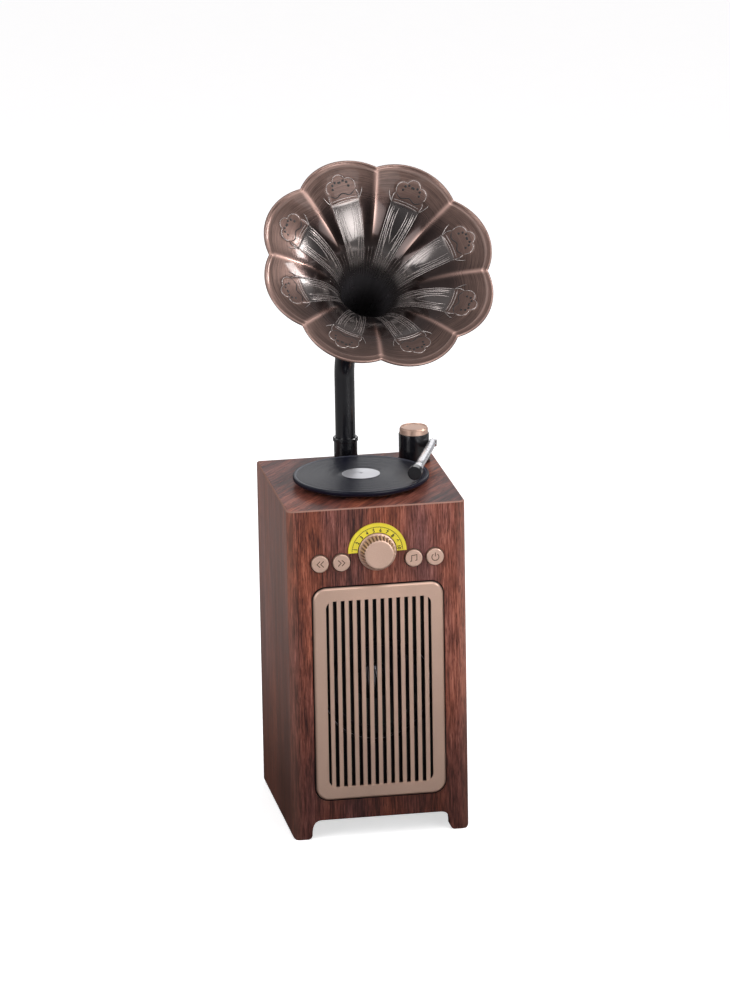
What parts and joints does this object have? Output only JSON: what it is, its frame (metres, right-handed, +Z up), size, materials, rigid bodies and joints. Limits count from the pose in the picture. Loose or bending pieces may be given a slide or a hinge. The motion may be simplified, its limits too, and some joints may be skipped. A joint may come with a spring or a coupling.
{
  "type": "horn loudspeaker",
  "caption": "Small loudspeaker styled as an old gramophone: wood-grain box with barred grille, dial knob and buttons, turning record with tonearm, and a petalled copper horn on a bent neck.",
  "frame": {"origin": "on the floor, under the middle of the box", "axes": "+Z up, the front faces -Y, +X is the right-hand side seen from the front"},
  "size_m": [0.1506, 0.1527, 0.4321],
  "materials": {
    "wood_film": "satin red-brown rosewood-grain film on fibreboard",
    "raw_board": "dark fibreboard",
    "champagne": "satin champagne metal",
    "dial_yellow": "printed yellow plastic",
    "black_gloss": "glossy black",
    "bright_metal": "bright plated metal",
    "label_silver": "spun silver",
    "horn_copper": "antique copper, brushed rim, darkened towards the throat",
    "steel": "zinc-plated steel",
    "ferrite": "dark ferrite",
    "coil_copper": "enamelled copper winding",
    "paper_cone": "black paper",
    "foam_rubber": "black rubber",
    "cap_gloss": "glossy dark dome",
    "circuit_green": "green circuit board",
    "black_plastic": "matt black moulding",
    "socket_metal": "tinned socket shell"
  },
  "bodies": {
    "cabinet": {"front_board": "wood_film", "left_board": "wood_film", "right_board": "wood_film", "top_board": "wood_film", "bottom_board": "raw_board", "back_board": "raw_board", "back_battens": "raw_board", "grille": "champagne", "dial_plate": "dial_yellow", "post_base": "black_gloss", "neck_socket": "black_gloss", "post_axle": "bright_metal", "small_screws": "steel", "back_screws": "steel", "hex_nuts": "steel", "neck_bolt": "steel", "neck_washer": "steel", "motor_bracket": "steel", "speaker_basket": "steel", "pole_plates": "steel", "turntable_motor": "steel", "battery_cell": "steel", "speaker_magnet": "ferrite", "voice_coil": "coil_copper", "speaker_cone": "paper_cone", "spider": "paper_cone", "speaker_surround": "foam_rubber", "speaker_gasket": "foam_rubber", "dust_cap": "cap_gloss", "control_board": "circuit_green", "main_board": "circuit_green", "encoder": "black_plastic", "push_switches": "black_plastic", "board_spacers": "black_plastic", "board_chips": "black_plastic", "battery_holder": "black_plastic", "port_plate": "black_plastic", "spindle_bush": "black_plastic", "rear_sockets": "socket_metal"},
    "knob_body": {"knob": "champagne", "encoder_shaft": "bright_metal"},
    "button_previous_body": {"button_previous": "champagne"},
    "button_next_body": {"button_next": "champagne"},
    "button_mode_body": {"button_mode": "champagne"},
    "button_power_body": {"button_power": "champagne"},
    "turntable": {"spindle": "bright_metal", "platter": "black_gloss", "record": "black_gloss", "record_label": "label_silver"},
    "turret_body": {"turret": "black_gloss", "post_cap": "champagne", "arm_pin": "bright_metal"},
    "arm_body": {"tonearm": "bright_metal", "head_shell": "black_gloss", "stylus": "bright_metal"},
    "horn_body": {"neck_tube": "black_gloss", "neck_ring": "black_gloss", "horn_coupling": "black_gloss", "horn_bell": "horn_copper"}
  },
  "joints": [
    {"name": "knob_turn", "type": "hinge", "parent": "cabinet", "child": "knob_body", "pos_m": [0, -0.062, 0.1917], "axis": [0, -1, 0], "range_deg": [-140, 140]},
    {"name": "press_previous", "type": "slide", "parent": "cabinet", "child": "button_previous_body", "axis": [0, 1, 0], "range_m": [0, 0.001], "stiffness_N_per_m": 600, "springref_m": -0.0005},
    {"name": "press_next", "type": "slide", "parent": "cabinet", "child": "button_next_body", "axis": [0, 1, 0], "range_m": [0, 0.001], "stiffness_N_per_m": 600, "springref_m": -0.0005},
    {"name": "press_mode", "type": "slide", "parent": "cabinet", "child": "button_mode_body", "axis": [0, 1, 0], "range_m": [0, 0.001], "stiffness_N_per_m": 600, "springref_m": -0.0005},
    {"name": "press_power", "type": "slide", "parent": "cabinet", "child": "button_power_body", "axis": [0, 1, 0], "range_m": [0, 0.001], "stiffness_N_per_m": 600, "springref_m": -0.0005},
    {"name": "record_spin", "type": "hinge", "parent": "cabinet", "child": "turntable", "pos_m": [0, -0.0058, 0.228], "axis": [0, 0, 1], "continuous": true},
    {"name": "arm_swing", "type": "hinge", "parent": "cabinet", "child": "turret_body", "pos_m": [0.043, 0.038, 0.2342], "axis": [0, 0, 1], "range_deg": [-21, 10]},
    {"name": "arm_lift", "type": "hinge", "parent": "turret_body", "child": "arm_body", "pos_m": [0.05459, 0.03387, 0.2342], "axis": [-0.9421, 0.3355, 0], "range_deg": [0, 25]},
    {"name": "horn_swivel", "type": "hinge", "parent": "cabinet", "child": "horn_body", "pos_m": [0, 0.052, 0.2342], "axis": [0, 0, 1], "range_deg": [-90, 90]}
  ]
}
